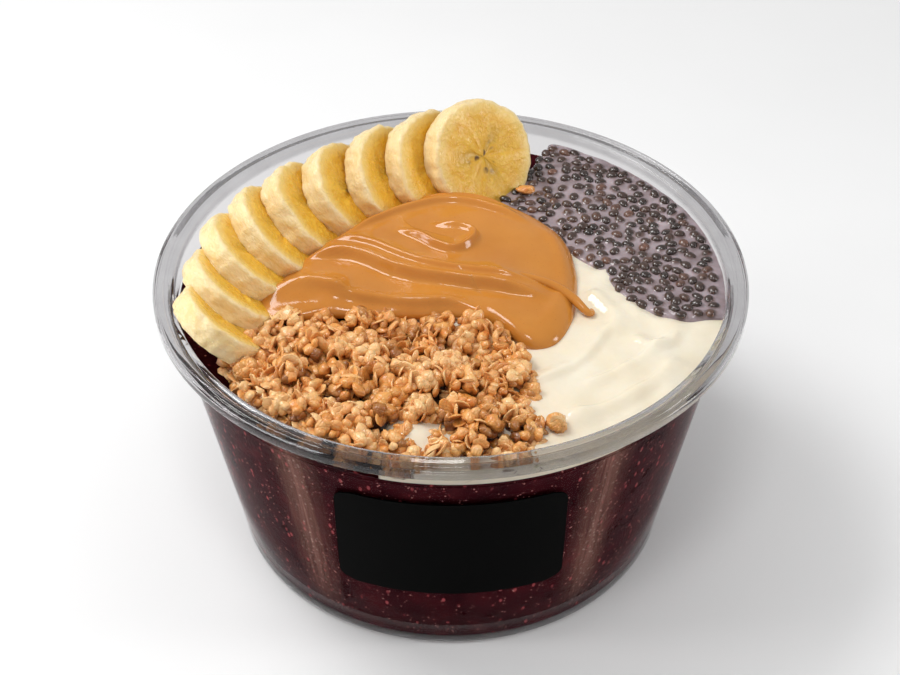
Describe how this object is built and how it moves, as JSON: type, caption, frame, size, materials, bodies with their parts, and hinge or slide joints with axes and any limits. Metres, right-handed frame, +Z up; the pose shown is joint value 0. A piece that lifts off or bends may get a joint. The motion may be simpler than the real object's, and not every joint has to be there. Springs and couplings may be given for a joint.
{
  "type": "acai bowl",
  "caption": "Clear plastic bowl of acai topped with yogurt, chia pudding, granola, nut butter and a row of banana slices.",
  "frame": {"origin": "centre of the bowl's base, on the surface it stands on", "axes": "+Z up along the bowl's axis; -Y towards the label; +X to the right seen from the label side, where the yogurt lies"},
  "size_m": [0.15, 0.15, 0.0969],
  "materials": {
    "clear_plastic": "clear glossy PET",
    "label": "matt black, bare",
    "acai": "dark purple-red blended fruit, slightly wet",
    "yogurt": "soft gloss cream",
    "chia_pudding": "dark seeds in grey-lilac gel, wet",
    "granola": "toasted oat clusters",
    "nut_butter": "glossy caramel-brown spread",
    "banana": "moist cut fruit"
  },
  "bodies": {
    "root": {"bowl": "clear_plastic", "label": "label", "acai": "acai", "yogurt": "yogurt", "chia_pudding": "chia_pudding", "granola": "granola", "nut_butter": "nut_butter", "banana_slice_1": "banana", "banana_slice_2": "banana", "banana_slice_3": "banana", "banana_slice_4": "banana", "banana_slice_5": "banana", "banana_slice_6": "banana", "banana_slice_7": "banana", "banana_slice_8": "banana", "banana_slice_9": "banana"}
  },
  "joints": []
}
